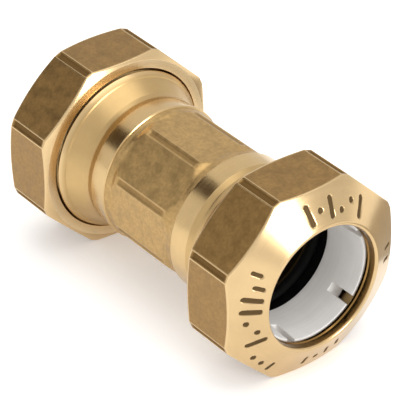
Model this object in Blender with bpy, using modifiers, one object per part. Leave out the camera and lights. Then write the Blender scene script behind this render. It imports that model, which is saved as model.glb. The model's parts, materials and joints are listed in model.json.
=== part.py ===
"""A straight compression coupling for 25 mm plastic pipe.

A brass body holds one pipe end in each of its two sockets. At each end an O-ring seals on the pipe, a thrust
bush presses on the O-ring, a split grip ring holds the pipe, and an eight-sided nut pulls the ring's cone in.
Metres, +Z up. The pipes lie along X, and the origin is the body's centre, on the pipes' axis.

Every outline is a list of (station, radius) pairs. A station is a distance from the body's centre along the
axis, so each piece is modelled along its own Z axis and then turned to point along +X or -X.
"""

import math

import bmesh
import bpy

MM = 0.001
COLLECTION = "compression_coupling"

# Driving dimensions
PIPE_RADIUS = 12.5 * MM
SIDES = 8  # flats on each nut and on the body's waist
SECTORS = 32  # facets round a turned surface, a multiple of SIDES
CLEARANCE = 0.3 * MM  # left between pieces that touch
EDGE = 0.3 * MM  # the usual chamfer

NUT_APOTHEM = 20.2 * MM  # half the spanner size
NUT_CORNER = 21.5 * MM  # from the axis to the narrow strip along each corner
NUT_FOOT = 22.65 * MM  # station of the face towards the body
NUT_FOOT_RADIUS = 19.6 * MM  # of that face, inside its chamfer
NUT_TOP = 38.7 * MM  # station of the open end
NUT_CONE_SLOPE = 0.55  # how far the wide outer cone runs along the axis for each unit of radius
NUT_THREAD_START = 24.8 * MM
NUT_LIP_RADIUS = PIPE_RADIUS + 0.25 * MM  # the narrowest place of the nut

WAIST_APOTHEM = 14.1 * MM
WAIST_CORNER = 14.9 * MM
WAIST_END = 7.7 * MM  # station where the waist's corners start to run down
COLLAR_START = 10.9 * MM
COLLAR_END = 15.1 * MM
COLLAR_RADIUS = 14.85 * MM
NECK_RADIUS = 14.2 * MM  # at the bottom of the hollow between collar and shoulder
SHOULDER_FOOT = 17.8 * MM
SHOULDER_TOP = 22.4 * MM
SHOULDER_RADIUS = 16.7 * MM

THREAD_PITCH = 2.0 * MM
THREAD_CREST = 17.2 * MM  # radius of the body's thread over its crests
THREAD_ROOT = 16.1 * MM
THREAD_CREST_WIDTH = 0.35 * MM
FLANK_SLOPE = math.tan(math.radians(30))
FLANK_CLEARANCE = 0.2 * MM  # along the axis, on each flank

BORE_RADIUS = 10.5 * MM
PIPE_STOP = 3.0 * MM  # station of the step that a pipe's end rests on
SOCKET_RADIUS = PIPE_RADIUS + 0.4 * MM
CHAMBER_RADIUS = 14.7 * MM  # holds the O-ring, the bush and the ring's pilot
CHAMBER_FLOOR = 20.0 * MM
BODY_MOUTH = 30.0 * MM

CORD_RADIUS = 1.2 * MM  # of the O-ring's section
BUSH_LENGTH = 2.4 * MM
RING_MOUTH = 35.9 * MM  # station of the grip ring's outer end
RING_SLOTS = 5
SLOT_WIDTH = 2.0 * MM
SLOT_DEPTH = 5.4 * MM
SLOT_FIRST_ANGLE = 47.0  # degrees round the ring's own axis, from its X
FULL_SPLIT = 2  # the slot, counted from the first as 0, that splits the ring over its whole length
CONE_FOOT_RADIUS = 15.45 * MM
CONE_TOP_RADIUS = 13.2 * MM

# Sizes that follow from them
PIECE_RADIUS = CHAMBER_RADIUS - CLEARANCE  # outside of what sits in the chamber
CORD_STATION = CHAMBER_FLOOR + CLEARANCE + CORD_RADIUS
BUSH_START = CORD_STATION + CORD_RADIUS + CLEARANCE
BUSH_END = BUSH_START + BUSH_LENGTH
RING_FOOT = BUSH_END + CLEARANCE
CONE_START = BODY_MOUTH + CLEARANCE
NUT_THREAD_MINOR = THREAD_ROOT + CLEARANCE
NUT_THREAD_MAJOR = THREAD_CREST + CLEARANCE
NUT_MOUTH_RADIUS = NUT_THREAD_MAJOR + 0.2 * MM

BRASS = (0.54, 0.38, 0.17)
WHITE_ACETAL = (0.66, 0.64, 0.62)
BLACK_NYLON = (0.02, 0.02, 0.02)
BLACK_RUBBER = (0.015, 0.015, 0.015)


def clear_scene():
    for obj in list(bpy.data.objects):
        bpy.data.objects.remove(obj, do_unlink=True)


def new_collection(name):
    collection = bpy.data.collections.new(name)
    bpy.context.scene.collection.children.link(collection)
    return collection


def new_object(name, mesh, collection):
    obj = bpy.data.objects.new(name, mesh)
    collection.objects.link(obj)
    return obj


def material(name, colour, roughness, metallic):
    made = bpy.data.materials.new(name)
    made.use_nodes = True
    shader = made.node_tree.nodes["Principled BSDF"]
    shader.inputs["Base Color"].default_value = (*colour, 1.0)
    shader.inputs["Roughness"].default_value = roughness
    shader.inputs["Metallic"].default_value = metallic
    return made


def baked(obj):
    """Replaces the object's mesh by its evaluated one, so that copies of the piece can share it."""
    graph = bpy.context.evaluated_depsgraph_get()
    mesh = bpy.data.meshes.new_from_object(obj.evaluated_get(graph))
    obj.modifiers.clear()
    obj.data = mesh
    return obj


def screwed(name, outline, collection, first_facet=0.0, turns=1.0, pitch=0.0):
    """Sweeps a closed outline of (station, radius) pairs about Z.

    The outline runs down the outer side and back up the bore. It starts first_facet facets round from +X, so
    that the facets of two shapes that a Boolean joins never line up.
    """
    angle = first_facet * 2 * math.pi / SECTORS
    shape = bmesh.new()
    points = []
    for station, radius in outline:
        points.append(shape.verts.new((radius * math.cos(angle), radius * math.sin(angle), station)))
    for start, end in zip(points, points[1:] + points[:1]):
        shape.edges.new((start, end))
    mesh = bpy.data.meshes.new(name)
    shape.to_mesh(mesh)
    shape.free()
    obj = new_object(name, mesh, collection)
    screw = obj.modifiers.new("screw", "SCREW")
    screw.axis = "Z"
    screw.angle = 2 * math.pi * turns
    screw.screw_offset = pitch * turns
    screw.steps = screw.render_steps = round(SECTORS * turns)
    screw.use_merge_vertices = pitch == 0.0
    screw.merge_threshold = 0.000001
    return baked(obj)


def prism(name, apothem, corner, low, high, collection):
    """A solid with SIDES flats and a narrow strip along each corner, from station low to station high."""
    half_side = math.pi / SIDES
    sharp = apothem / math.cos(half_side)
    inset = (sharp - corner) / math.sin(half_side)
    half_flat = apothem * math.tan(half_side) - inset
    reach = math.hypot(apothem, half_flat)
    lean = math.atan2(half_flat, apothem)
    shape = bmesh.new()
    points = []
    for side in range(SIDES):
        middle = 2 * math.pi * side / SIDES
        for angle in (middle - lean, middle + lean):
            points.append(shape.verts.new((reach * math.cos(angle), reach * math.sin(angle), low)))
    base = shape.faces.new(points)
    raised = bmesh.ops.extrude_face_region(shape, geom=[base])["geom"]
    tops = [part for part in raised if isinstance(part, bmesh.types.BMVert)]
    bmesh.ops.translate(shape, verts=tops, vec=(0.0, 0.0, high - low))
    bmesh.ops.recalc_face_normals(shape, faces=shape.faces)
    mesh = bpy.data.meshes.new(name)
    shape.to_mesh(mesh)
    shape.free()
    return new_object(name, mesh, collection)


def box(name, size, centre, angle, collection):
    """A block with its middle at centre, then turned by angle about Z."""
    shape = bmesh.new()
    bmesh.ops.create_cube(shape, size=1.0)
    bmesh.ops.scale(shape, vec=size, verts=shape.verts)
    bmesh.ops.translate(shape, vec=centre, verts=shape.verts)
    mesh = bpy.data.meshes.new(name)
    shape.to_mesh(mesh)
    shape.free()
    obj = new_object(name, mesh, collection)
    obj.rotation_euler.z = angle
    return obj


def combined(obj, operation, tool):
    """Applies one Boolean of obj with tool, which stays behind as a hidden helper."""
    tool.hide_render = True
    tool.display_type = "WIRE"
    boolean = obj.modifiers.new(operation.lower(), "BOOLEAN")
    boolean.operation = operation
    boolean.object = tool
    bpy.context.view_layer.update()
    return baked(obj)


def arc(centre_station, centre_radius, bend, first, last, steps):
    """Points on a round edge; angles in degrees, from the stations' direction towards greater radius."""
    points = []
    for step in range(steps + 1):
        angle = math.radians(first + (last - first) * step / steps)
        points.append((centre_station + bend * math.cos(angle), centre_radius + bend * math.sin(angle)))
    return points


def both_ways(outer_half):
    """Completes one half of an outline, given from the far end to the middle, with its mirror image."""
    return outer_half + [(-station, radius) for station, radius in reversed(outer_half)]


def helical_ridge(name, crest, margin, low, high, collection):
    """One thread's ridge: its crest radius, its extra half width and the stations it spans."""
    overlap = 0.2 * MM
    run_out = 0.9 * MM
    foot = (NUT_THREAD_MINOR if margin > 0.0 else THREAD_ROOT) - overlap

    def half_width(radius):
        return THREAD_CREST_WIDTH / 2 + (THREAD_CREST - radius) * FLANK_SLOPE + margin

    start = math.floor((low - THREAD_PITCH) / THREAD_PITCH) * THREAD_PITCH
    turns = math.ceil((high + THREAD_PITCH - start) / THREAD_PITCH)
    tooth = [
        (start + half_width(foot), foot),
        (start + half_width(crest), crest),
        (start - half_width(crest), crest),
        (start - half_width(foot), foot),
    ]
    ridge = screwed(name, tooth, collection, 0.5, turns, THREAD_PITCH)
    shape = bmesh.new()
    shape.from_mesh(ridge.data)
    open_edges = [edge for edge in shape.edges if edge.is_boundary]
    bmesh.ops.holes_fill(shape, edges=open_edges, sides=0)
    bmesh.ops.recalc_face_normals(shape, faces=shape.faces)
    shape.to_mesh(ridge.data)
    shape.free()
    above = crest + 0.5 * MM
    within = foot - 0.5 * MM
    envelope = [
        (high, foot),
        (high - run_out, above),
        (low + run_out, above),
        (low, foot),
        (low, within),
        (high, within),
    ]
    limits = screwed(name + "_limits", envelope, collection, 0.25)
    return combined(ridge, "INTERSECT", limits)


def make_body(helpers, parts):
    """The brass body: eight-sided waist, and at each end a collar, a shoulder and a threaded spigot."""
    core_radius = WAIST_APOTHEM - 0.5 * MM
    core_end = WAIST_END + 2.3 * MM
    thread_start = SHOULDER_TOP + 0.9 * MM
    outside = both_ways(
        [
            (BODY_MOUTH, THREAD_ROOT - EDGE),
            (BODY_MOUTH - EDGE, THREAD_ROOT),
            (SHOULDER_TOP + EDGE, THREAD_ROOT),
            (SHOULDER_TOP + EDGE, THREAD_CREST),
            (SHOULDER_TOP, THREAD_CREST + 0.2 * MM),
            (SHOULDER_TOP - 1.2 * MM, SHOULDER_RADIUS),
            (SHOULDER_TOP - 1.3 * MM, SHOULDER_RADIUS - EDGE),
            (SHOULDER_TOP - 1.7 * MM, SHOULDER_RADIUS - 0.5 * MM),
            (SHOULDER_FOOT, NECK_RADIUS + EDGE),
            (SHOULDER_FOOT - 1.2 * MM, NECK_RADIUS),
            (COLLAR_END, COLLAR_RADIUS - EDGE),
            (COLLAR_START, COLLAR_RADIUS),
            (COLLAR_START - 0.3 * MM, COLLAR_RADIUS - 0.2 * MM),
            (COLLAR_START - 0.9 * MM, COLLAR_RADIUS - 0.45 * MM),
            (COLLAR_START - 1.6 * MM, COLLAR_RADIUS - 0.55 * MM),
            (WAIST_END + 0.5 * MM, core_radius),
        ]
    )
    bore = both_ways(
        [
            (BODY_MOUTH, CHAMBER_RADIUS + EDGE),
            (BODY_MOUTH - EDGE, CHAMBER_RADIUS),
            (CHAMBER_FLOOR, CHAMBER_RADIUS),
            (CHAMBER_FLOOR, SOCKET_RADIUS + EDGE),
            (CHAMBER_FLOOR - EDGE, SOCKET_RADIUS),
            (PIPE_STOP, SOCKET_RADIUS),
            (PIPE_STOP, BORE_RADIUS),
        ]
    )
    body = screwed("coupling_body", outside + bore[::-1], parts)
    half_blank = core_end - 0.5 * MM
    waist = prism("waist_blank", WAIST_APOTHEM, WAIST_CORNER, -half_blank, half_blank, helpers)
    waist_outside = both_ways([(core_end, WAIST_APOTHEM - 0.2 * MM), (WAIST_END, WAIST_CORNER + 0.2 * MM)])
    waist_inside = both_ways([(core_end, (SOCKET_RADIUS + core_radius) / 2)])
    waist_limits = screwed("waist_limits", waist_outside + waist_inside[::-1], helpers, 0.25)
    combined(waist, "INTERSECT", waist_limits)
    combined(body, "UNION", waist)
    for end in (1, -1):
        thread_end = BODY_MOUTH - 0.5 * MM
        thread = helical_ridge("body_thread", THREAD_CREST, 0.0, thread_start, thread_end, helpers)
        if end < 0:
            thread.rotation_euler.y = math.pi
        combined(body, "UNION", thread)
    return body


def make_nut(helpers, parts):
    """The eight-sided nut: a wide cone to its open end, an inner cone for the grip ring, and a thread."""
    blank = NUT_CORNER + 1.0 * MM
    land = NUT_LIP_RADIUS + 0.2 * MM
    round_edge = 0.45 * MM
    cone_top = land + 2 * round_edge
    lip_foot = RING_MOUTH + CLEARANCE
    cone_clearance = 0.35 * MM
    outside = [
        (NUT_TOP - 0.1 * MM, cone_top),
        (NUT_TOP - NUT_CONE_SLOPE * (blank - cone_top), blank),
        (NUT_FOOT + 1.2 * MM, blank),
        (NUT_FOOT, NUT_FOOT_RADIUS),
    ]
    inside = [
        (NUT_FOOT, NUT_MOUTH_RADIUS + EDGE),
        (NUT_FOOT + EDGE, NUT_MOUTH_RADIUS),
        (NUT_THREAD_START - 0.8 * MM, NUT_MOUTH_RADIUS),
        (NUT_THREAD_START, NUT_THREAD_MINOR),
        (CONE_START + 0.3 * MM, NUT_THREAD_MINOR),
        (CONE_START + 0.6 * MM, CONE_FOOT_RADIUS + cone_clearance),
        (lip_foot, CONE_TOP_RADIUS + cone_clearance),
        (lip_foot, NUT_LIP_RADIUS),
        (lip_foot + 0.5 * MM, NUT_LIP_RADIUS),
        (lip_foot + 0.7 * MM, land),
    ]
    rounded = arc(NUT_TOP - round_edge, land + round_edge, round_edge, 270, 380, 4)
    nut = screwed("right_nut", outside + inside + rounded, parts)
    flats = prism("nut_flats", NUT_APOTHEM, NUT_CORNER, NUT_FOOT - 1 * MM, NUT_TOP + 1 * MM, helpers)
    combined(nut, "INTERSECT", flats)
    groove_start = NUT_THREAD_START - 1.4 * MM
    groove_end = CONE_START + 0.2 * MM
    groove = helical_ridge("nut_thread", NUT_THREAD_MAJOR, FLANK_CLEARANCE, groove_start, groove_end, helpers)
    return combined(nut, "DIFFERENCE", groove)


def make_grip_ring(helpers, parts):
    """The split ring that grips the pipe: a pilot in the body's chamber, and a cone in the nut with slots."""
    outline = [
        (RING_MOUTH, CONE_TOP_RADIUS - 0.2 * MM),
        (RING_MOUTH - 0.3 * MM, CONE_TOP_RADIUS),
        (CONE_START + 0.3 * MM, CONE_FOOT_RADIUS),
        (CONE_START, CONE_FOOT_RADIUS - 0.2 * MM),
        (CONE_START, PIECE_RADIUS),
        (RING_FOOT + 0.3 * MM, PIECE_RADIUS),
        (RING_FOOT, PIECE_RADIUS - 0.3 * MM),
        (RING_FOOT, PIPE_RADIUS - 0.5 * MM),
        (RING_MOUTH - 5.0 * MM, PIPE_RADIUS - 0.25 * MM),
        (RING_MOUTH, PIPE_RADIUS),
    ]
    ring = screwed("right_grip_ring", outline, parts)
    wall_middle = 14 * MM
    cut_through_wall = 6 * MM
    for slot in range(RING_SLOTS):
        angle = math.radians(SLOT_FIRST_ANGLE + 360 * slot / RING_SLOTS)
        foot = RING_FOOT - 1 * MM if slot == FULL_SPLIT else RING_MOUTH - SLOT_DEPTH
        top = RING_MOUTH + 1 * MM
        size = (cut_through_wall, SLOT_WIDTH, top - foot)
        centre = (wall_middle, 0.0, (top + foot) / 2)
        combined(ring, "DIFFERENCE", box("slot_cutter", size, centre, angle, helpers))
    return ring


def make_bush(parts):
    """The plain bush between the grip ring and the O-ring."""
    edge = 0.3 * MM
    inner = PIPE_RADIUS + 0.2 * MM
    outline = [
        (BUSH_END, PIECE_RADIUS - edge),
        (BUSH_END - edge, PIECE_RADIUS),
        (BUSH_START + edge, PIECE_RADIUS),
        (BUSH_START, PIECE_RADIUS - edge),
        (BUSH_START, inner),
        (BUSH_END, inner),
    ]
    return screwed("right_thrust_bush", outline, parts)


def make_o_ring(parts):
    """The O-ring, on its seat at the floor of the chamber."""
    section = arc(CORD_STATION, PIECE_RADIUS - CORD_RADIUS, CORD_RADIUS, 0, -324, 9)
    return screwed("right_o_ring", section[::-1], parts)


def smooth(obj, look):
    obj.data.materials.clear()
    obj.data.materials.append(look)
    for polygon in obj.data.polygons:
        polygon.use_smooth = True
    obj.data.set_sharp_from_angle(angle=math.radians(30))


def end_axis(name, direction, parts):
    """An empty on the axis that turns a piece's own Z to point along +X or -X."""
    empty = new_object(name, None, parts)
    empty.rotation_euler.y = direction * math.pi / 2
    return empty


def main():
    clear_scene()
    helpers = new_collection("cutters")
    parts = new_collection(COLLECTION)

    body = make_body(helpers, parts)
    end_pieces = {
        "nut": (make_nut(helpers, parts), material("nut_brass", BRASS, 0.28, 1.0)),
        "grip_ring": (make_grip_ring(helpers, parts), material("white_acetal", WHITE_ACETAL, 0.45, 0.0)),
        "thrust_bush": (make_bush(parts), material("black_nylon", BLACK_NYLON, 0.5, 0.0)),
        "o_ring": (make_o_ring(parts), material("black_rubber", BLACK_RUBBER, 0.7, 0.0)),
    }

    right = end_axis("right_end", 1, parts)
    left = end_axis("left_end", -1, parts)
    smooth(body, material("body_brass", BRASS, 0.35, 1.0))
    body.parent = right
    for name, (piece, look) in end_pieces.items():
        smooth(piece, look)
        piece.parent = right
        twin = new_object("left_" + name, piece.data, parts)
        twin.parent = left


main()
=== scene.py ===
"""Looks of a straight brass compression coupling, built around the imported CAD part.

Every piece is a shape turned about X. It is made as a net of columns, one for each angle round X, and rows,
one for each point of the outline at that angle, so that flats, corner strips, cones and threads meet on
exact edges. Lengths are in metres. A station is a distance along X, a radius a distance from the X axis.
"""

import json
import math

import bmesh
import bpy
import numpy as np
from mathutils import Matrix, Vector


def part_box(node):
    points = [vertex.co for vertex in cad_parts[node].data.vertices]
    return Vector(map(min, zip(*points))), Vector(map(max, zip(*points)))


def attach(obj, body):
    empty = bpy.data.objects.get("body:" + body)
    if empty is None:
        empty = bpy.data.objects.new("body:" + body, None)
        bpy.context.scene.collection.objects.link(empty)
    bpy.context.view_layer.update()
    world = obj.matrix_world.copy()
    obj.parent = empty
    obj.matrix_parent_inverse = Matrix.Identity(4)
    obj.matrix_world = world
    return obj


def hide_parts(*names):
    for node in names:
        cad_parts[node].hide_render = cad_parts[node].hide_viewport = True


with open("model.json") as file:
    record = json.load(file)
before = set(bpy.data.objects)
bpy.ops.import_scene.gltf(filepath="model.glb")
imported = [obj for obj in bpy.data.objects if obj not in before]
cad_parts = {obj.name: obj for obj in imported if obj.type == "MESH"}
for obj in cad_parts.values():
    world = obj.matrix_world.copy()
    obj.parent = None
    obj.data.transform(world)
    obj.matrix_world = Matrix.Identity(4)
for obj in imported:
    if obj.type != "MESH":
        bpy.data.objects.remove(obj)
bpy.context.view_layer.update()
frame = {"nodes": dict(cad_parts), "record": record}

MM = 0.001


def greatest_radius(node):
    return max(math.hypot(v.co.y, v.co.z) for v in frame["nodes"][node].data.vertices)


def least_radius(node):
    return min(math.hypot(v.co.y, v.co.z) for v in frame["nodes"][node].data.vertices)


def mount_place(name):
    return next(mount["pos_m"] for mount in frame["record"]["mounts"] if mount["name"] == name)


# Sizes read from the frame
NUT_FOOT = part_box("right_nut")[0].x  # station of the nut's face towards the body
NUT_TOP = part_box("right_nut")[1].x
NUT_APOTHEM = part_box("right_nut")[1].z
NUT_LIP = least_radius("right_nut")
BODY_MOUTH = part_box("coupling_body")[1].x
BORE = least_radius("coupling_body")
WAIST_APOTHEM = mount_place("waist_flat_top")[2]
PIPE_STOP = mount_place("right_pipe_stop")[0]
RING_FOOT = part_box("right_grip_ring")[0].x
RING_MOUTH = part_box("right_grip_ring")[1].x
BUSH_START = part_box("right_thrust_bush")[0].x
BUSH_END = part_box("right_thrust_bush")[1].x
PIECE_RADIUS = greatest_radius("right_thrust_bush")  # of all that sits in the body's chamber
CORD_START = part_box("right_o_ring")[0].x
CORD_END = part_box("right_o_ring")[1].x

# Sizes that the frame's boxes and mounts don't give
SIDES = 8  # flats on each nut and on the body's waist
CLEARANCE = 0.3 * MM  # between pieces that touch
EDGE = 0.3 * MM  # the usual chamfer
NUT_CORNER = NUT_APOTHEM + 1.3 * MM
NUT_FOOT_RADIUS = NUT_APOTHEM - 0.6 * MM
NUT_LAND = NUT_LIP + 0.2 * MM
NUT_CONE_SLOPE = 0.55  # how far the wide outer cone runs along X for each unit of radius
NUT_GROOVE = 0.32 * MM  # depth of the groove along each corner
WAIST_CORNER = WAIST_APOTHEM + 0.8 * MM
WAIST_GROOVE = 0.2 * MM
WAIST_END = 7.7 * MM  # station where the waist's corners start to run down
COLLAR_START = 10.9 * MM
COLLAR_END = 15.1 * MM
COLLAR_RADIUS = WAIST_APOTHEM + 0.75 * MM
NECK_RADIUS = WAIST_APOTHEM + 0.1 * MM  # at the bottom of the hollow between collar and shoulder
SHOULDER_FOOT = 17.8 * MM
SHOULDER_TOP = 22.4 * MM
SHOULDER_RADIUS = 16.7 * MM
THREAD_PITCH = 2.0 * MM
THREAD_CREST = 17.2 * MM
THREAD_ROOT = THREAD_CREST - 1.1 * MM
THREAD_CREST_WIDTH = 0.35 * MM
THREAD_PHASE = math.radians(84.375)
FLANK_SLOPE = math.tan(math.radians(30))
CHAMBER_RADIUS = PIECE_RADIUS + CLEARANCE
CHAMBER_FLOOR = CORD_START - CLEARANCE
SOCKET_RADIUS = NUT_LIP + 0.15 * MM
CONE_FOOT_RADIUS = 15.45 * MM  # of the grip ring's cone
CONE_TOP_RADIUS = 13.2 * MM
RING_BORE = NUT_LIP - 0.25 * MM
RING_BORE_FOOT = RING_BORE - 0.5 * MM
RING_SLOTS = 5
SLOT_WIDTH = 2.0 * MM
SLOT_DEPTH = 6.0 * MM
SLOT_RAMP = 1.8 * MM  # how much less deep a slot is on the ring's outside
SLOT_FIRST_ANGLE = math.radians(227)
FULL_SPLIT = 2  # the slot, counted from the first as 0, that splits the ring over its whole length


# ---------------------------------------------------------------- shapes

BEND_STEPS = 4  # steps along the arc that rounds a corner


def rounded(corners, steps=BEND_STEPS):
    """The closed outline through (station, radius, bend) corners, each replaced by an arc of that radius."""
    result = []
    points = [corner[:2] for corner in corners]
    for index, (*_, bend) in enumerate(corners):
        if bend == 0.0:
            result.append(points[index])
            continue
        corner = Vector(points[index])
        before = Vector(points[index - 1]) - corner
        after = Vector(points[(index + 1) % len(points)]) - corner
        opening = before.angle(after)
        setback = min(bend / math.tan(opening / 2), 0.45 * before.length, 0.45 * after.length)
        bend = setback * math.tan(opening / 2)
        inward = (before.normalized() + after.normalized()).normalized()
        centre = corner + inward * (bend / math.sin(opening / 2))
        first = corner + before.normalized() * setback - centre
        last = corner + after.normalized() * setback - centre
        for step in range(steps + 1):
            result.append(tuple(centre + first.slerp(last, step / steps).normalized() * bend))
    return result


def circle_section(count):
    """Columns of a round section: angle, radius, and relief."""
    return [(2 * math.pi * step / count, 1.0, 0.0) for step in range(count)]


def octagon_section(apothem, corner, bend, flat_steps, strip_steps=12, bend_steps=3):
    """Columns of a section with SIDES flats and a narrow grooved strip along each corner.

    The third number of a column is its relief: -1 on an edge lightened by wear and a painted highlight, 0 on
    a flat and up to 1 in a groove, which dirt and painted shade darken.
    """
    half_side = math.pi / SIDES
    slant = Vector((math.cos(half_side), math.sin(half_side)))
    flat_end = ((corner - bend) - (apothem - bend) * slant.x) / slant.y
    bend_centre = Vector((apothem - bend, flat_end))
    mirrored = Matrix(((math.cos(2 * half_side), math.sin(2 * half_side)),
                       (math.sin(2 * half_side), -math.cos(2 * half_side))))
    fullness = 1.9  # above 1, so that the groove has a level floor
    points = []
    for step in range(flat_steps):
        point = Vector((apothem, flat_end * (2 * step / flat_steps - 1)))
        points.append((point, -1.0 if step == 0 else 0.0))
    arc = []
    for step in range(bend_steps + 1):
        turn = half_side * step / bend_steps
        arc.append((bend_centre + bend * Vector((math.cos(turn), math.sin(turn))), -1.0))
    points += arc
    strip_start = arc[-1][0]
    strip = 2 * (slant * corner - strip_start)
    for step in range(1, strip_steps):
        share = step / strip_steps
        points.append((strip_start + strip * share, min(fullness * math.sin(math.pi * share) ** 2, 1.0)))
    points += [(mirrored @ point, -1.0) for point, _ in reversed(arc[1:])]
    columns = []
    for side in range(SIDES):
        for point, groove in points:
            columns.append((2 * half_side * side + math.atan2(point.y, point.x), point.length, groove))
    return columns


def net(name, columns, outline_at, looks, look_at, relief_at=None):
    """A closed surface with one outline for each column.

    look_at(row, station, radius) is the look that a row wears. relief_at(column, station, radius) is 1 for a
    point deep in a groove or mark, darkened by dirt and painted shade, 0 on a plain face and -1 on an edge
    lightened by wear and a painted highlight.
    """
    outlines = [outline_at(column) for column in columns]
    rows = len(outlines[0])
    vertices = []
    reliefs = []
    for column, outline in zip(columns, outlines):
        for station, radius in outline:
            vertices.append((station, radius * math.cos(column[0]), radius * math.sin(column[0])))
            reliefs.append(relief_at(column, station, radius) if relief_at else 0.0)
    slot_of_row = []
    for row in range(rows):
        first = outlines[0][row]
        second = outlines[0][(row + 1) % rows]
        look = look_at(row, (first[0] + second[0]) / 2, (first[1] + second[1]) / 2)
        slot_of_row.append(looks.index(look))
    faces = []
    for column in range(len(columns)):
        here = column * rows
        there = (column + 1) % len(columns) * rows
        for row in range(rows):
            below = (row + 1) % rows
            faces.append((here + row, here + below, there + below, there + row))
    mesh = bpy.data.meshes.new(name)
    mesh.from_pydata(vertices, [], faces)
    for look in looks:
        mesh.materials.append(look)
    mesh.polygons.foreach_set("material_index", slot_of_row * len(columns))
    mesh.attributes.new("relief", "FLOAT", "POINT").data.foreach_set("value", reliefs)
    mesh.update()
    obj = bpy.data.objects.new(name, mesh)
    bpy.context.scene.collection.objects.link(obj)
    return obj


def smooth(obj, angle=38):
    """Shades the piece smooth up to an angle in degrees, with its broad faces ruling the shading."""
    mesh = obj.data
    mesh.shade_smooth()
    mesh.set_sharp_from_angle(angle=math.radians(angle))
    obj.modifiers.new("weighted", "WEIGHTED_NORMAL").keep_sharp = True
    return obj


def stations_between(first, last, count):
    """count stations from first towards last, last left out."""
    return [first + (last - first) * step / count for step in range(count)]


def eased(share):
    """A smooth step that rises from 0 to 1 as share does."""
    share = min(max(share, 0.0), 1.0)
    return share * share * (3 - 2 * share)


def soft_least(first, second, blend):
    """The lesser of two numbers, with the corner where they cross rounded off."""
    return (first + second - math.hypot(first - second, blend)) / 2


def thread_radius(station, angle, crest, floor, margin):
    """Radius of the thread's flank at a station and angle, between floor and crest."""
    lead = station - THREAD_PITCH * (angle + THREAD_PHASE) / (2 * math.pi)
    off_crest = abs((lead + THREAD_PITCH / 2) % THREAD_PITCH - THREAD_PITCH / 2)
    radius = THREAD_CREST - (off_crest - THREAD_CREST_WIDTH / 2 - margin) / FLANK_SLOPE
    return min(max(radius, floor), crest)


# ---------------------------------------------------------------- marks pressed into the nut's cone

MARK_DEPTH = 0.2 * MM
MARK_EDGE = 0.16 * MM
MARK_STEP = math.radians(9)
BAR = (3.0 * MM, 1.0 * MM)
SHORT_BAR = (1.4 * MM, 0.85 * MM)
DOT = (0.0, 1.1 * MM)
# First angle in degrees, middle radius, and the marks at equal steps, each with its offset outwards in mm
MARK_ROWS = (
    (54, 16.6 * MM, ((BAR, 0.0), (DOT, 0.8), (DOT, -0.8), (BAR, 0.0), (DOT, 0.0), (BAR, 0.0))),
    (150, 16.4 * MM, ((SHORT_BAR, 0.6), (SHORT_BAR, -0.6), (BAR, 0.0), (BAR, 0.0), (DOT, 0.8), (DOT, -0.8),
                      (BAR, 0.0))),
    (217, 18.4 * MM, ((DOT, 0.0), (DOT, 0.0), (SHORT_BAR, 0.0))),
    (262, 17.4 * MM, ((SHORT_BAR, 0.0), (DOT, 0.0), (SHORT_BAR, 0.0), (SHORT_BAR, 0.0))),
    (352, 18.0 * MM, ((SHORT_BAR, 0.0), (SHORT_BAR, 0.0))),
)


def placed_marks():
    """Every mark's angle, middle radius, length and width."""
    marks = []
    for first_angle, middle, row in MARK_ROWS:
        for place, ((length, width), offset) in enumerate(row):
            angle = math.radians(first_angle) + MARK_STEP * place
            marks.append((angle, middle + offset * MM, length, width))
    return marks


MARKS = placed_marks()


def mark_share(angle, radius):
    """How far into a mark a point of the cone lies: 0 outside, 1 on the mark's floor."""
    nearest = 1.0
    for mark_angle, middle, length, width in MARKS:
        turn = (angle - mark_angle + math.pi) % (2 * math.pi) - math.pi
        if abs(turn) < MARK_STEP:
            beyond = max(abs(radius - middle) - length / 2, 0.0)
            nearest = min(nearest, math.hypot(turn * radius, beyond) - width / 2)
    return eased(0.5 - nearest / MARK_EDGE)


# ---------------------------------------------------------------- materials


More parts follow.
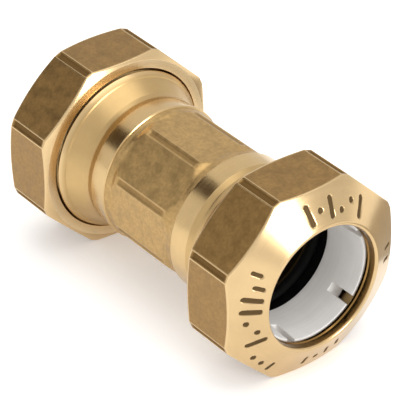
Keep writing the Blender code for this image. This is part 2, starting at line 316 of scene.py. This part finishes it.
class Look:
    """A material with short calls for its nodes."""

    def __init__(self, name, metallic, roughness):
        self.material = bpy.data.materials.new(name)
        self.material.use_nodes = True
        self.tree = self.material.node_tree
        self.shader = self.tree.nodes["Principled BSDF"]
        self.shader.inputs["Metallic"].default_value = metallic
        self.shader.inputs["Roughness"].default_value = roughness
        self.place = self.node("ShaderNodeTexCoord").outputs["Object"]

    def node(self, kind, **values):
        made = self.tree.nodes.new(kind)
        for name, value in values.items():
            setattr(made, name, value)
        return made

    def link(self, source, target):
        self.tree.links.new(source, target)

    def noise(self, scale, detail):
        texture = self.node("ShaderNodeTexNoise")
        texture.inputs["Scale"].default_value = scale
        texture.inputs["Detail"].default_value = detail
        texture.inputs["Roughness"].default_value = 0.55
        self.link(self.place, texture.inputs["Vector"])
        return texture.outputs["Fac"]

    def rings(self, fineness, detail=6.0):
        """Noise in fine rings about X, on faces that run along X and on faces that run across it."""
        across = self.node("ShaderNodeVectorMath", operation="MULTIPLY")
        across.inputs[1].default_value = (0.0, 1.0, 1.0)
        self.link(self.place, across.inputs[0])
        radius = self.node("ShaderNodeVectorMath", operation="LENGTH")
        self.link(across.outputs["Vector"], radius.inputs[0])
        parts = self.node("ShaderNodeSeparateXYZ")
        self.link(self.place, parts.inputs["Vector"])
        travel = self.node("ShaderNodeMath", operation="MULTIPLY_ADD")
        self.link(radius.outputs["Value"], travel.inputs[0])
        travel.inputs[1].default_value = 2.0
        self.link(parts.outputs["X"], travel.inputs[2])
        joined = self.node("ShaderNodeCombineXYZ")
        self.link(travel.outputs["Value"], joined.inputs["X"])
        self.link(parts.outputs["Y"], joined.inputs["Y"])
        self.link(parts.outputs["Z"], joined.inputs["Z"])
        mapping = self.node("ShaderNodeMapping")
        mapping.inputs["Scale"].default_value = (fineness, 14.0, 14.0)
        self.link(joined.outputs["Vector"], mapping.inputs["Vector"])
        texture = self.node("ShaderNodeTexNoise")
        texture.inputs["Scale"].default_value = 1.0
        texture.inputs["Detail"].default_value = detail
        texture.inputs["Roughness"].default_value = 0.65
        self.link(mapping.outputs["Vector"], texture.inputs["Vector"])
        return texture.outputs["Fac"]

    def relieved(self, tone, rough, dirt_and_shade, wear_and_highlight):
        """The tone and roughness, darkened by dirt and painted shade in grooves and marks, and lightened on
        edges by wear and a painted highlight.
        """
        relief = self.node("ShaderNodeAttribute", attribute_name="relief")
        # Grooves and marks darken towards the dirt colour, which is also painted shade; edges lighten
        # towards the edge colour, which is also a painted highlight.
        dirtied_and_shaded = self.mapped(relief.outputs["Fac"], 0.05, 0.6, 0.0, 0.9)
        worn_and_highlit = self.mapped(relief.outputs["Fac"], -0.9, -0.1, 0.8, 0.0)
        matt = self.node("ShaderNodeMix")
        self.link(dirtied_and_shaded, matt.inputs[0])
        self.link(rough, matt.inputs[2])
        matt.inputs[3].default_value = 0.6
        polished = self.node("ShaderNodeMix")
        self.link(worn_and_highlit, polished.inputs[0])
        self.link(matt.outputs[0], polished.inputs[2])
        polished.inputs[3].default_value = 0.2
        return self.mixed(worn_and_highlit, self.mixed(dirtied_and_shaded, tone, dirt_and_shade), wear_and_highlight), polished.outputs[0]

    def ramp(self, value, stops):
        """A colour for each value, between (position, colour) stops."""
        made = self.node("ShaderNodeValToRGB")
        elements = made.color_ramp.elements
        while len(elements) < len(stops):
            elements.new(0.5)
        for element, (position, colour) in zip(elements, stops):
            element.position = position
            element.color = (*colour, 1.0)
        self.link(value, made.inputs["Fac"])
        return made.outputs["Color"]

    def mapped(self, value, low, high, to_low, to_high):
        """The value's range from low to high, stretched to run from to_low to to_high."""
        made = self.node("ShaderNodeMapRange")
        made.inputs["From Min"].default_value = low
        made.inputs["From Max"].default_value = high
        made.inputs["To Min"].default_value = to_low
        made.inputs["To Max"].default_value = to_high
        self.link(value, made.inputs["Value"])
        return made.outputs["Result"]

    def mixed(self, share, first, second):
        """First turning into second as share rises; each colour is a fixed one or another node's."""
        made = self.node("ShaderNodeMix", data_type="RGBA")
        for source, socket in ((share, made.inputs[0]), (first, made.inputs[6]), (second, made.inputs[7])):
            if isinstance(source, tuple):
                socket.default_value = (*source, 1.0)
            else:
                self.link(source, socket)
        return made.outputs[2]

    def bump(self, height, distance, strength, under=None):
        made = self.node("ShaderNodeBump")
        made.inputs["Distance"].default_value = distance
        made.inputs["Strength"].default_value = strength
        self.link(height, made.inputs["Height"])
        if under is not None:
            self.link(under, made.inputs["Normal"])
        return made.outputs["Normal"]

    def wear(self, **sockets):
        """Links node outputs to the shader's sockets and returns the finished material."""
        for name, source in sockets.items():
            self.link(source, self.shader.inputs[name.replace("_", " ")])
        return self.material


# Lighter colour for rounded edges: partly wear, partly a painted highlight along each edge.
EDGE_WEAR_AND_HIGHLIGHT = (0.68, 0.49, 0.26)
# Darker colour deep in the forged corner grooves: partly dirt, partly painted shade in the grooves.
GROOVE_DIRT_AND_SHADE = (0.17, 0.095, 0.030)  # on forged faces
# Darker colour in the marks pressed into turned faces: partly dirt, partly painted shade in the recesses.
MARK_DIRT_AND_SHADE = (0.060, 0.032, 0.010)  # on turned faces


def tint(colour, factor):
    return tuple(min(channel * factor, 1.0) for channel in colour)


def forged_brass(name, colour, roughness, grain):
    """Brass left as it came from the forging die: a fine matt grain with darker blotches, dirt and painted
    shade in the grooves, and edges lightened by wear and a painted highlight.
    """
    look = Look(name, 1.0, roughness)
    blotches = look.noise(420, 5.0)
    specks = look.noise(1500, 3.0)
    tone = look.ramp(blotches, [(0.30, tint(colour, 0.80)), (0.52, colour), (0.75, tint(colour, 1.14))])
    specked = look.mixed(look.mapped(specks, 0.35, 0.62, 0.4, 0.0), tone, tint(colour, 0.58))
    rough = look.mapped(blotches, 0.3, 0.7, roughness - 0.05, roughness + 0.07)
    dirtied_and_shaded, rough = look.relieved(specked, rough, GROOVE_DIRT_AND_SHADE, EDGE_WEAR_AND_HIGHLIGHT)
    fine = look.bump(specks, 0.012 * MM, grain)
    coarse = look.bump(blotches, 0.05 * MM, grain, fine)
    return look.wear(Base_Color=dirtied_and_shaded, Roughness=rough, Normal=coarse)


def turned_brass(name, colour, roughness, groove):
    """Brass cut on a lathe: fine rings about X, a faint stain, dirt and painted shade in the marks, and
    edges lightened by wear and a painted highlight.
    """
    look = Look(name, 1.0, roughness)
    rings = look.rings(3800)
    stain = look.noise(160, 4.0)
    tone = look.ramp(stain, [(0.32, tint(colour, 0.91)), (0.55, colour), (0.8, tint(colour, 1.07))])
    ringed = look.mixed(look.mapped(rings, 0.3, 0.7, 0.3, 0.0), tone, tint(colour, 0.8))
    rough = look.mapped(rings, 0.3, 0.7, roughness - 0.02, roughness + 0.04)
    dirtied_and_shaded, rough = look.relieved(ringed, rough, MARK_DIRT_AND_SHADE, EDGE_WEAR_AND_HIGHLIGHT)
    return look.wear(Base_Color=dirtied_and_shaded, Roughness=rough, Normal=look.bump(rings, 0.005 * MM, groove))


def grip_plastic():
    """Off-white moulded plastic with faint rings from turning the bore."""
    look = Look("white_acetal", 0.0, 0.42)
    rings = look.rings(1500, 5.0)
    cloud = look.noise(120, 4.0)
    tone = look.ramp(cloud, [(0.3, (0.84, 0.82, 0.79)), (0.7, (0.93, 0.915, 0.89))])
    streaked = look.mixed(look.mapped(rings, 0.35, 0.65, 0.3, 0.0), tone, (0.70, 0.68, 0.65))
    rough = look.mapped(rings, 0.3, 0.7, 0.36, 0.5)
    return look.wear(Base_Color=streaked, Roughness=rough, Normal=look.bump(rings, 0.01 * MM, 0.5))


def black_nylon():
    """Black moulded plastic with a fine grain."""
    look = Look("black_nylon", 0.0, 0.5)
    look.shader.inputs["Specular IOR Level"].default_value = 0.15
    grain = look.noise(900, 4.0)
    tone = look.ramp(grain, [(0.3, (0.0015, 0.0015, 0.0015)), (0.7, (0.005, 0.005, 0.005))])
    rough = look.mapped(grain, 0.3, 0.7, 0.42, 0.6)
    return look.wear(Base_Color=tone, Roughness=rough, Normal=look.bump(grain, 0.01 * MM, 0.6))


def black_rubber():
    """Matt black rubber, slightly dusty."""
    look = Look("black_rubber", 0.0, 0.75)
    look.shader.inputs["Specular IOR Level"].default_value = 0.15
    dust = look.noise(500, 6.0)
    tone = look.ramp(dust, [(0.35, (0.002, 0.002, 0.002)), (0.75, (0.007, 0.007, 0.006))])
    rough = look.mapped(dust, 0.3, 0.7, 0.62, 0.85)
    return look.wear(Base_Color=tone, Roughness=rough, Normal=look.bump(dust, 0.02 * MM, 0.7))


# ---------------------------------------------------------------- pieces


def make_body(forged, turned, collar, painted_shade_bore):
    """The body: a thread, shoulder and collar at each end, a grooved octagonal waist and a stepped bore."""
    core_radius = WAIST_APOTHEM - 0.5 * MM
    core_line = [
        (0.0, core_radius - 0.6 * MM),
        (WAIST_END, core_radius - 0.3 * MM),
        (WAIST_END + 0.7 * MM, core_radius + 0.1 * MM),
        (COLLAR_START - 1.6 * MM, COLLAR_RADIUS - 0.55 * MM),
        (COLLAR_START - 0.9 * MM, COLLAR_RADIUS - 0.45 * MM),
        (COLLAR_START - 0.3 * MM, COLLAR_RADIUS - 0.3 * MM),
    ]
    core_stations, core_radii = zip(*core_line)
    head = rounded(
        [
            (SHOULDER_TOP + EDGE, THREAD_ROOT, 0.0),
            (SHOULDER_TOP + EDGE, THREAD_CREST, 0.05 * MM),
            (SHOULDER_TOP, THREAD_CREST + 0.2 * MM, 0.2 * MM),
            (SHOULDER_TOP - 1.15 * MM, SHOULDER_RADIUS + 0.05 * MM, 0.08 * MM),
            (SHOULDER_TOP - 1.3 * MM, SHOULDER_RADIUS - EDGE, 0.08 * MM),
            (SHOULDER_TOP - 1.7 * MM, SHOULDER_RADIUS - 0.5 * MM, 0.1 * MM),
            (SHOULDER_FOOT, NECK_RADIUS + EDGE, 1.2 * MM),
            (SHOULDER_FOOT - 1.2 * MM, NECK_RADIUS, 1.0 * MM),
            (COLLAR_END, COLLAR_RADIUS - EDGE, 0.5 * MM),
            (COLLAR_START, COLLAR_RADIUS, 0.12 * MM),
            (COLLAR_START - 0.15 * MM, COLLAR_RADIUS - 0.3 * MM, 0.0),
        ]
    )
    bore = rounded(
        [
            (BODY_MOUTH, CHAMBER_RADIUS + EDGE, 0.0),
            (BODY_MOUTH - EDGE, CHAMBER_RADIUS, 0.05 * MM),
            (CHAMBER_FLOOR, CHAMBER_RADIUS, 0.1 * MM),
            (CHAMBER_FLOOR, SOCKET_RADIUS + EDGE, 0.05 * MM),
            (CHAMBER_FLOOR - EDGE, SOCKET_RADIUS, 0.05 * MM),
            (PIPE_STOP, SOCKET_RADIUS, 0.1 * MM),
            (PIPE_STOP, BORE, 0.0),
        ],
        2,
    )
    thread_start = SHOULDER_TOP + 0.9 * MM
    thread_end = BODY_MOUTH - 0.5 * MM
    run_out_slope = 1.3 * (THREAD_CREST - THREAD_ROOT) / (0.9 * MM)
    groove_run_out = 0.9 * MM
    # How far the waist's corner grooves darken: dirt and painted shade.
    waist_dirt_and_shade = 0.35
    cone_end = WAIST_END + 2.3 * MM
    cone_end_radius = WAIST_APOTHEM - 0.2 * MM
    cone_slope = 0.52  # radius for each unit along X
    plain_waist = 6.2 * MM
    thread_stations = stations_between(BODY_MOUTH - EDGE, SHOULDER_TOP + EDGE, 34)
    waist_stations = stations_between(core_stations[-1], plain_waist, 18) + [plain_waist, plain_waist / 2]

    def thread_at(station, angle):
        """The thread's radius, which runs out into its root near each end."""
        from_end = max(min(station - thread_start, thread_end - station), 0.0)
        radius = thread_radius(station, angle, THREAD_CREST, THREAD_ROOT, 0.0)
        return min(radius, THREAD_ROOT + from_end * run_out_slope)

    def groove_fade(station):
        """1 along the waist, falling to 0 where the corner grooves run out short of the collars."""
        return eased((WAIST_END - abs(station)) / groove_run_out)

    def waist_at(station, column):
        """The octagon, cut by a cone at its ends and blended into the round core below it."""
        octagon = column[1] - WAIST_GROOVE * max(column[2], 0.0) * groove_fade(station)
        cone = cone_end_radius + (cone_end - station) * cone_slope
        core = np.interp(station, core_stations, core_radii)
        return -soft_least(-core, -soft_least(octagon, cone, 0.12 * MM), 0.3 * MM)

    def half(angle, column):
        """The outside from the mouth to just short of the body's middle."""
        outer = [(BODY_MOUTH, THREAD_ROOT - EDGE)]
        outer += [(station, thread_at(station, angle)) for station in thread_stations]
        outer += head
        outer += [(station, waist_at(station, column)) for station in waist_stations]
        return outer

    def outline_at(column):
        left = [(-station, at) for station, at in reversed(half(-column[0], column))]
        inner_left = [(-station, at) for station, at in bore]
        inner_right = list(reversed(bore))
        return half(column[0], column) + [(0.0, waist_at(0.0, column))] + left + inner_left + inner_right

    def relief_at(column, station, radius):
        # The shoulder's outer corner is lightened as wear and a painted highlight; the waist's corner
        # grooves are darkened as dirt and painted shade.
        if abs(station) > SHOULDER_TOP - EDGE and radius > THREAD_CREST:
            return -1.0
        return waist_dirt_and_shade * column[2] * groove_fade(station) if radius > SOCKET_RADIUS + EDGE else 0.0

    columns = octagon_section(WAIST_APOTHEM, WAIST_CORNER, 0.18 * MM, 30, 8)
    outer_rows = 2 * len(half(0.0, columns[0])) + 1

    def look_at(row, station, radius):
        # The bore is brass painted nearly black: painted shade deep inside the fitting.
        if row >= outer_rows:
            return painted_shade_bore
        if abs(station) < COLLAR_START - 0.1 * MM:
            return forged
        return collar if abs(station) < COLLAR_END + 0.3 * MM else turned

    looks = [forged, turned, collar, painted_shade_bore]
    body = smooth(net("coupling_body_finished", columns, outline_at, looks, look_at, relief_at))
    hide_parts("coupling_body")
    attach(body, "coupling_body")


def make_nut(flat, turned, polished, shaded_land, highlit_foot_face):
    """The right nut: grooved octagon, marked cone, rounded mouth, lip, inner cone and thread."""
    thread_floor = THREAD_CREST + 0.36 * MM
    thread_crest = THREAD_ROOT + CLEARANCE
    thread_start = NUT_FOOT + 1.35 * MM
    opening_slope = 1.6
    inner_cone_foot = BODY_MOUTH + 0.6 * MM
    inner_cone_clearance = 0.35 * MM
    foot_edge = 0.25 * MM
    chamfer_slope = 1.2 / 2.9  # along X for each unit of radius
    rim_station = NUT_TOP - 0.1 * MM
    rim_radius = NUT_LAND + 0.9 * MM
    lip_foot = RING_MOUTH + CLEARANCE
    cone_steps = 54
    cone_normal = Vector((1.0, NUT_CONE_SLOPE)).normalized()
    thread_stations = stations_between(thread_start, inner_cone_foot, 30)[1:]
    # Width of the band along each flat's edges that is lightened as wear and a painted highlight.
    wear_and_highlight_width = 0.25 * MM
    groove_run_out = 0.9 * MM
    bend_points = BEND_STEPS + 1

    def corners_at(radius):
        """The outline's corners where the section has this radius, each with the bend that rounds it."""
        return [
            (rim_station + NUT_CONE_SLOPE * (rim_radius - NUT_LAND), NUT_LAND, 0.6 * MM),
            (rim_station - NUT_CONE_SLOPE * (radius - rim_radius), radius, 0.28 * MM),
            (NUT_FOOT + chamfer_slope * (radius - NUT_FOOT_RADIUS), radius, 0.34 * MM),
            (NUT_FOOT, NUT_FOOT_RADIUS, 0.25 * MM),
            (NUT_FOOT, thread_floor + foot_edge, 0.08 * MM),
            (NUT_FOOT + foot_edge, thread_floor, 0.03 * MM),
            (thread_start, thread_floor, 0.0),
            (inner_cone_foot, thread_crest, 0.0),
            (inner_cone_foot + EDGE, CONE_FOOT_RADIUS + inner_cone_clearance, 0.0),
            (lip_foot, CONE_TOP_RADIUS + inner_cone_clearance, 0.0),
            (lip_foot, NUT_LIP, 0.05 * MM),
            (lip_foot + 0.5 * MM, NUT_LIP, 0.06 * MM),
            (lip_foot + 0.75 * MM, NUT_LAND, 0.06 * MM),
        ]

    def marked_cone(angle, first, last):
        """Points of the wide cone between its rounded edges, pressed in where a mark lies."""
        cone = []
        for step in range(1, cone_steps):
            place = first.lerp(last, step / cone_steps)
            cone.append(tuple(place - cone_normal * MARK_DEPTH * mark_share(angle, place.y)))
        return cone

    def thread_at(angle):
        """Points of the thread, which starts from a cone at the nut's foot."""
        thread = []
        for station in thread_stations:
            at = thread_radius(station, angle, THREAD_CREST + CLEARANCE, thread_crest, 0.2 * MM)
            opening = thread_floor - (station - thread_start) * opening_slope
            thread.append((station, max(at, opening)))
        return thread

    def outline_at(column):
        points = rounded(corners_at(column[1]))
        rim, rest = points[:bend_points], points[bend_points:]
        groove_floor = column[1] - NUT_GROOVE * max(column[2], 0.0)
        top_bend_end = rest[bend_points - 1][0]
        foot_bend_start = rest[bend_points][0]
        rest[bend_points:bend_points] = [
            (top_bend_end - wear_and_highlight_width, column[1]),
            (top_bend_end - groove_run_out, groove_floor),
            (foot_bend_start + groove_run_out, groove_floor),
            (foot_bend_start + wear_and_highlight_width, column[1]),
        ]
        turn = rest.index((thread_start, thread_floor)) + 1
        cone = marked_cone(column[0], Vector(rim[-1]), Vector(rest[0]))
        return rim + cone + rest[:turn] + thread_at(column[0]) + rest[turn:]

    def relief_at(column, station, radius):
        # Grooves and marks are darkened as dirt and painted shade; the flats' edges and the foot's inner
        # edge are lightened as wear and a painted highlight.
        if radius < thread_floor and station < inner_cone_foot:
            return 0.0
        if station < NUT_FOOT + foot_edge and radius < thread_floor + 2 * foot_edge:
            return -1.0
        top, foot = [corner[0] for corner in corners_at(column[1])[1:3]]
        if foot + groove_run_out < station < top - groove_run_out and radius > NUT_FOOT_RADIUS:
            return column[2]
        if radius > column[1] - 0.01 * MM and min(station - foot, top - station) > wear_and_highlight_width:
            return min(column[2], 0.0)
        if radius > column[1] - 0.25 * MM:
            return -1.0
        return mark_share(column[0], radius) if station > BODY_MOUTH and radius > rim_radius else 0.0

    columns = octagon_section(NUT_APOTHEM, NUT_CORNER, 0.26 * MM, 64)

    def look_at(row, station, radius):
        if radius > columns[0][1] - 0.02 * MM:
            return flat
        # The lip bore inside the mouth wears the darker brass: painted shade.
        if station > lip_foot - 0.1 * MM and radius < NUT_LAND + 0.12 * MM:
            return shaded_land
        # The face towards the body wears the lighter brass: a painted highlight.
        if station < NUT_FOOT + 0.1 * MM and radius > thread_floor:
            return highlit_foot_face
        return polished if radius > thread_floor or station > lip_foot else turned

    looks = [flat, turned, polished, shaded_land, highlit_foot_face]
    return smooth(net("right_nut_finished", columns, outline_at, looks, look_at, relief_at))


def turned_piece(name, outline, look, count):
    """A round piece with one outline and one look all over."""
    return net(name, circle_section(count), lambda column: outline, [look], lambda *row: look)


def slot_cutter(angle, split):
    """The space of one slot in the grip ring, with a ramp at its inner end unless it splits the ring."""
    reach = RING_FOOT - 1 * MM if split else RING_MOUTH - SLOT_DEPTH
    ramp = 0.0 if split else SLOT_RAMP
    above = CONE_FOOT_RADIUS + 1 * MM
    within = RING_BORE_FOOT - 1 * MM
    side = [
        (RING_MOUTH + 1 * MM, within),
        (RING_MOUTH + 1 * MM, above),
        (reach + ramp, above),
        (reach + ramp, CONE_FOOT_RADIUS - 0.15 * MM),
        (reach, within),
    ]
    shape = bmesh.new()
    base = [shape.verts.new((station, -SLOT_WIDTH / 2, radius)) for station, radius in side]
    face = shape.faces.new(base)
    raised = bmesh.ops.extrude_face_region(shape, geom=[face])["geom"]
    tops = [part for part in raised if isinstance(part, bmesh.types.BMVert)]
    bmesh.ops.translate(shape, verts=tops, vec=(0.0, SLOT_WIDTH, 0.0))
    bmesh.ops.recalc_face_normals(shape, faces=shape.faces)
    bmesh.ops.rotate(shape, verts=shape.verts, matrix=Matrix.Rotation(angle, 3, "X"))
    mesh = bpy.data.meshes.new("slot")
    shape.to_mesh(mesh)
    shape.free()
    obj = bpy.data.objects.new("slot", mesh)
    bpy.context.scene.collection.objects.link(obj)
    return obj


def cut(obj, tool):
    """Takes the tool's space away from the object, and then removes the tool."""
    boolean = obj.modifiers.new("cut", "BOOLEAN")
    boolean.operation = "DIFFERENCE"
    boolean.object = tool
    graph = bpy.context.evaluated_depsgraph_get()
    mesh = bpy.data.meshes.new_from_object(obj.evaluated_get(graph))
    obj.modifiers.clear()
    obj.data = mesh
    bpy.data.objects.remove(tool)


def make_grip_ring(plastic):
    """The right split ring: a pilot in the body's chamber, and a cone with slots in the nut."""
    cone_start = BODY_MOUTH + CLEARANCE
    outline = rounded(
        [
            (RING_MOUTH, CONE_TOP_RADIUS - 0.1 * MM, 0.15 * MM),
            (cone_start, CONE_FOOT_RADIUS, 0.25 * MM),
            (cone_start, PIECE_RADIUS, 0.1 * MM),
            (RING_FOOT, PIECE_RADIUS, 0.3 * MM),
            (RING_FOOT, RING_BORE_FOOT, 0.2 * MM),
            (RING_MOUTH, RING_BORE, 0.12 * MM),
        ]
    )
    ring = turned_piece("right_grip_ring_finished", outline, plastic, 240)
    for slot in range(RING_SLOTS):
        cut(ring, slot_cutter(SLOT_FIRST_ANGLE + 2 * math.pi * slot / RING_SLOTS, slot == FULL_SPLIT))
    return smooth(ring, 30)


def make_bush(nylon):
    """The right thrust bush, a plain ring with rounded edges."""
    inner = NUT_LIP - 0.05 * MM
    outline = rounded(
        [
            (BUSH_END, PIECE_RADIUS, 0.3 * MM),
            (BUSH_START, PIECE_RADIUS, 0.3 * MM),
            (BUSH_START, inner, 0.2 * MM),
            (BUSH_END, inner, 0.2 * MM),
        ]
    )
    return smooth(turned_piece("right_thrust_bush_finished", outline, nylon, 180))


def make_o_ring(rubber):
    """The right O-ring, with a round section."""
    cord = (CORD_END - CORD_START) / 2
    steps = 20
    outline = []
    for step in range(steps):
        turn = 2 * math.pi * step / steps
        station = CORD_START + cord - cord * math.sin(turn)
        outline.append((station, PIECE_RADIUS - cord + cord * math.cos(turn)))
    return smooth(turned_piece("right_o_ring_finished", outline, rubber, 180))


def both_ends(right, part, body=None):
    """Copies a right piece to the left end, hides the frame's pieces that both replace, and hangs both on
    what they ride on: body, or their own.
    """
    left = bpy.data.objects.new(right.name.replace("right_", "left_"), right.data.copy())
    bpy.context.scene.collection.objects.link(left)
    left.modifiers.new("weighted", "WEIGHTED_NORMAL").keep_sharp = True
    left.rotation_euler.y = math.pi
    for end, obj in (("right_", right), ("left_", left)):
        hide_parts(end + part)
        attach(obj, body or end + part)


# ---------------------------------------------------------------- stage


def plain_material(name, colour):
    made = bpy.data.materials.new(name)
    made.use_nodes = True
    shader = made.node_tree.nodes["Principled BSDF"]
    shader.inputs["Base Color"].default_value = (*colour, 1.0)
    shader.inputs["Roughness"].default_value = 0.9
    shader.inputs["Specular IOR Level"].default_value = 0.0
    return made


def make_plane(name, size_x, size_y, colour):
    """A flat piece of the stage, which isn't part of the fitting."""
    shape = bmesh.new()
    bmesh.ops.create_grid(shape, x_segments=1, y_segments=1, size=0.5)
    bmesh.ops.scale(shape, vec=(size_x, size_y, 1.0), verts=shape.verts)
    mesh = bpy.data.meshes.new(name)
    shape.to_mesh(mesh)
    shape.free()
    mesh.materials.append(plain_material(name, colour))
    obj = bpy.data.objects.new(name, mesh)
    bpy.context.scene.collection.objects.link(obj)
    return obj


def facing_centre(obj, direction, distance):
    """Sets an object at a distance from the origin, facing it, with its Y axis as near upright as can be."""
    normal = Vector(direction).normalized()
    across = Vector((0.0, 0.0, 1.0)).cross(normal).normalized()
    rotation = Matrix((across, normal.cross(across), normal)).transposed()
    obj.matrix_world = Matrix.Translation(normal * distance) @ rotation.to_4x4()


def softbox(name, direction, distance, size, power):
    lamp = bpy.data.lights.new(name, "AREA")
    lamp.shape = "RECTANGLE"
    lamp.size = size[0]
    lamp.size_y = size[1]
    lamp.energy = power
    obj = bpy.data.objects.new(name, lamp)
    bpy.context.scene.collection.objects.link(obj)
    facing_centre(obj, direction, distance)


def make_stage():
    """A pale floor, a white studio, two soft lights, and two cards that only reflections see."""
    floor = make_plane("floor", 6.0, 6.0, (0.93, 0.93, 0.93))
    floor.location.z = -NUT_APOTHEM
    glow = floor.data.materials[0].node_tree.nodes["Principled BSDF"]
    glow.inputs["Emission Color"].default_value = (1.0, 1.0, 1.0, 1.0)
    glow.inputs["Emission Strength"].default_value = 0.25
    world = bpy.data.worlds.new("studio")
    world.use_nodes = True
    background = world.node_tree.nodes["Background"]
    background.inputs["Color"].default_value = (1.0, 1.0, 1.0, 1.0)
    background.inputs["Strength"].default_value = 0.98
    bpy.context.scene.world = world
    softbox("key", (0.95, 0.17, 0.25), 0.9, (0.26, 0.26), 2.6)
    softbox("top", (0.1, 0.1, 1.0), 1.0, (0.9, 0.9), 3.0)
    card = make_plane("dark_card", 0.25, 0.42, (0.048, 0.032, 0.018))
    facing_centre(card, (-0.65, -0.37, 0.62), 0.6)
    side_card = make_plane("side_card", 0.12, 0.07, (0.5, 0.46, 0.4))
    side_card.location = (0.045, 0.075, 0.5 * MM - NUT_APOTHEM)
    for obj in (card, side_card):
        obj.visible_camera = False
        obj.visible_shadow = False
        obj.visible_diffuse = False


def make_camera():
    """The camera that the photo was taken with, as fitted to the edges of the nuts and the body."""
    distance = 476 * MM
    azimuth = math.radians(51.786)
    elevation = math.radians(34.086)
    ahead = Vector((-math.sin(azimuth), math.cos(azimuth), 0.0))
    right = Vector((math.cos(azimuth), math.sin(azimuth), 0.0))
    back = Vector((0.0, 0.0, math.sin(elevation))) - ahead * math.cos(elevation)
    up = back.cross(right)
    camera = bpy.data.cameras.new("camera")
    camera.lens = 213.1
    camera.sensor_width = 36.0
    camera.shift_x = 0.0187
    camera.shift_y = -0.0112
    camera.clip_start = 0.01
    obj = bpy.data.objects.new("camera", camera)
    bpy.context.scene.collection.objects.link(obj)
    rotation = Matrix((right, up, back)).transposed()
    obj.matrix_world = Matrix.Translation(back * distance) @ rotation.to_4x4()
    bpy.context.scene.camera = obj
    bpy.context.scene.view_settings.view_transform = "Standard"


def main():
    """Makes the materials, the pieces and the stage."""
    flat = forged_brass("brass_flats", (0.33, 0.195, 0.068), 0.40, 0.5)
    waist = forged_brass("brass_forged", (0.50, 0.325, 0.132), 0.40, 0.6)
    turned = turned_brass("brass_turned", (0.53, 0.36, 0.16), 0.33, 0.6)
    collar = turned_brass("brass_collar", (0.62, 0.435, 0.21), 0.19, 0.15)
    polished = turned_brass("brass_polished", (0.63, 0.45, 0.235), 0.20, 0.3)
    # Lighter brass for the nut's face towards the body: a painted highlight.
    highlit_foot_face = turned_brass("brass_foot_face", (0.82, 0.64, 0.39), 0.30, 0.4)
    # Darker brass for the lip bore inside the nut's mouth: painted shade.
    shaded_land = turned_brass("brass_land", (0.30, 0.17, 0.055), 0.16, 0.3)
    # Brass painted nearly black for the body's bore: painted shade deep inside the fitting.
    painted_shade_bore = turned_brass("brass_inside", (0.05, 0.033, 0.014), 0.45, 0.4)
    make_body(waist, turned, collar, painted_shade_bore)
    both_ends(make_nut(flat, turned, polished, shaded_land, highlit_foot_face), "nut")
    both_ends(make_grip_ring(grip_plastic()), "grip_ring")
    both_ends(make_bush(black_nylon()), "thrust_bush")
    both_ends(make_o_ring(black_rubber()), "o_ring", "coupling_body")
    make_stage()
    make_camera()


main()
